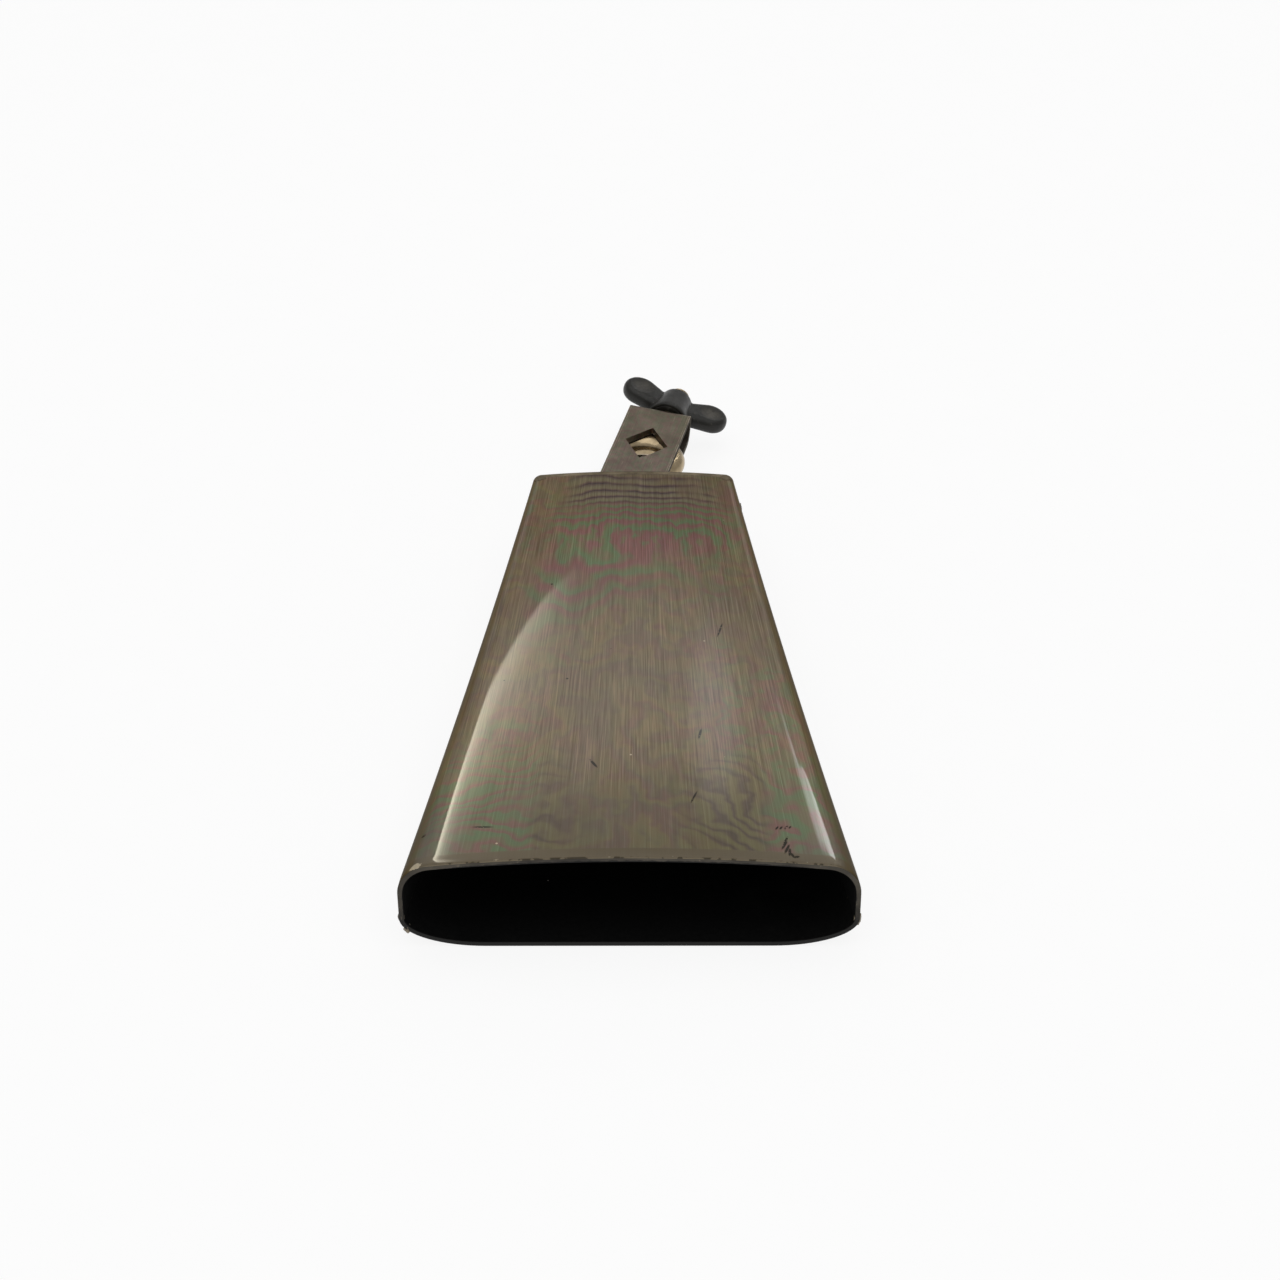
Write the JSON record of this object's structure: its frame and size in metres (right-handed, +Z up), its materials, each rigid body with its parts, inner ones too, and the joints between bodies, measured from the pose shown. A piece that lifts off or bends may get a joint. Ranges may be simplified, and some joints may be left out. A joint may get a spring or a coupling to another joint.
{
  "type": "timbales cowbell",
  "caption": "Tapered hand percussion bell of welded sheet steel, open at its wide mouth, with a folded bracket, eye bolt and wing nut that clamp it on a stand rod.",
  "frame": {"origin": "middle of the bell's flat lower face", "axes": "+Y from the mouth to the closed end, +X to the right seen from the mouth, +Z up"},
  "size_m": [0.136, 0.2977, 0.0334],
  "materials": {
    "bell_steel": "brushed dark bronze-grey steel under clear lacquer, black paint inside",
    "weld_steel": "rough weld bead under lacquer",
    "bracket_steel": "satin brown-grey plated strap",
    "plated_steel": "yellow zinc plate",
    "black_plastic": "matte moulded black plastic",
    "insert_steel": "plain zinc plate"
  },
  "bodies": {
    "bell": {"upper_shell": "bell_steel", "lower_shell": "bell_steel", "end_plate": "bell_steel", "left_seam_weld": "weld_steel", "right_seam_weld": "weld_steel", "end_seam_weld": "weld_steel", "mounting_bracket": "bracket_steel", "bracket_weld_upper": "weld_steel", "bracket_weld_lower": "weld_steel"},
    "eye_bolt": {"eye_bolt": "plated_steel"},
    "wing_nut": {"wing_nut": "black_plastic", "wing_nut_insert": "insert_steel"}
  },
  "joints": [
    {"name": "eye_bolt_slide", "type": "slide", "parent": "bell", "child": "eye_bolt", "axis": [0.2586, 0.966, -0.0041], "range_m": [-0.0025, 0.005]},
    {"name": "wing_nut_turn", "type": "hinge", "parent": "bell", "child": "wing_nut", "pos_m": [0.01181, 0.16729, 0.01547], "axis": [0.2586, 0.966, -0.0041], "range_deg": [-1500, 760]}
  ],
  "couplings": [
    {"joint": "wing_nut_turn", "follows": "eye_bolt_slide", "rad_per_m": -5026.5}
  ]
}
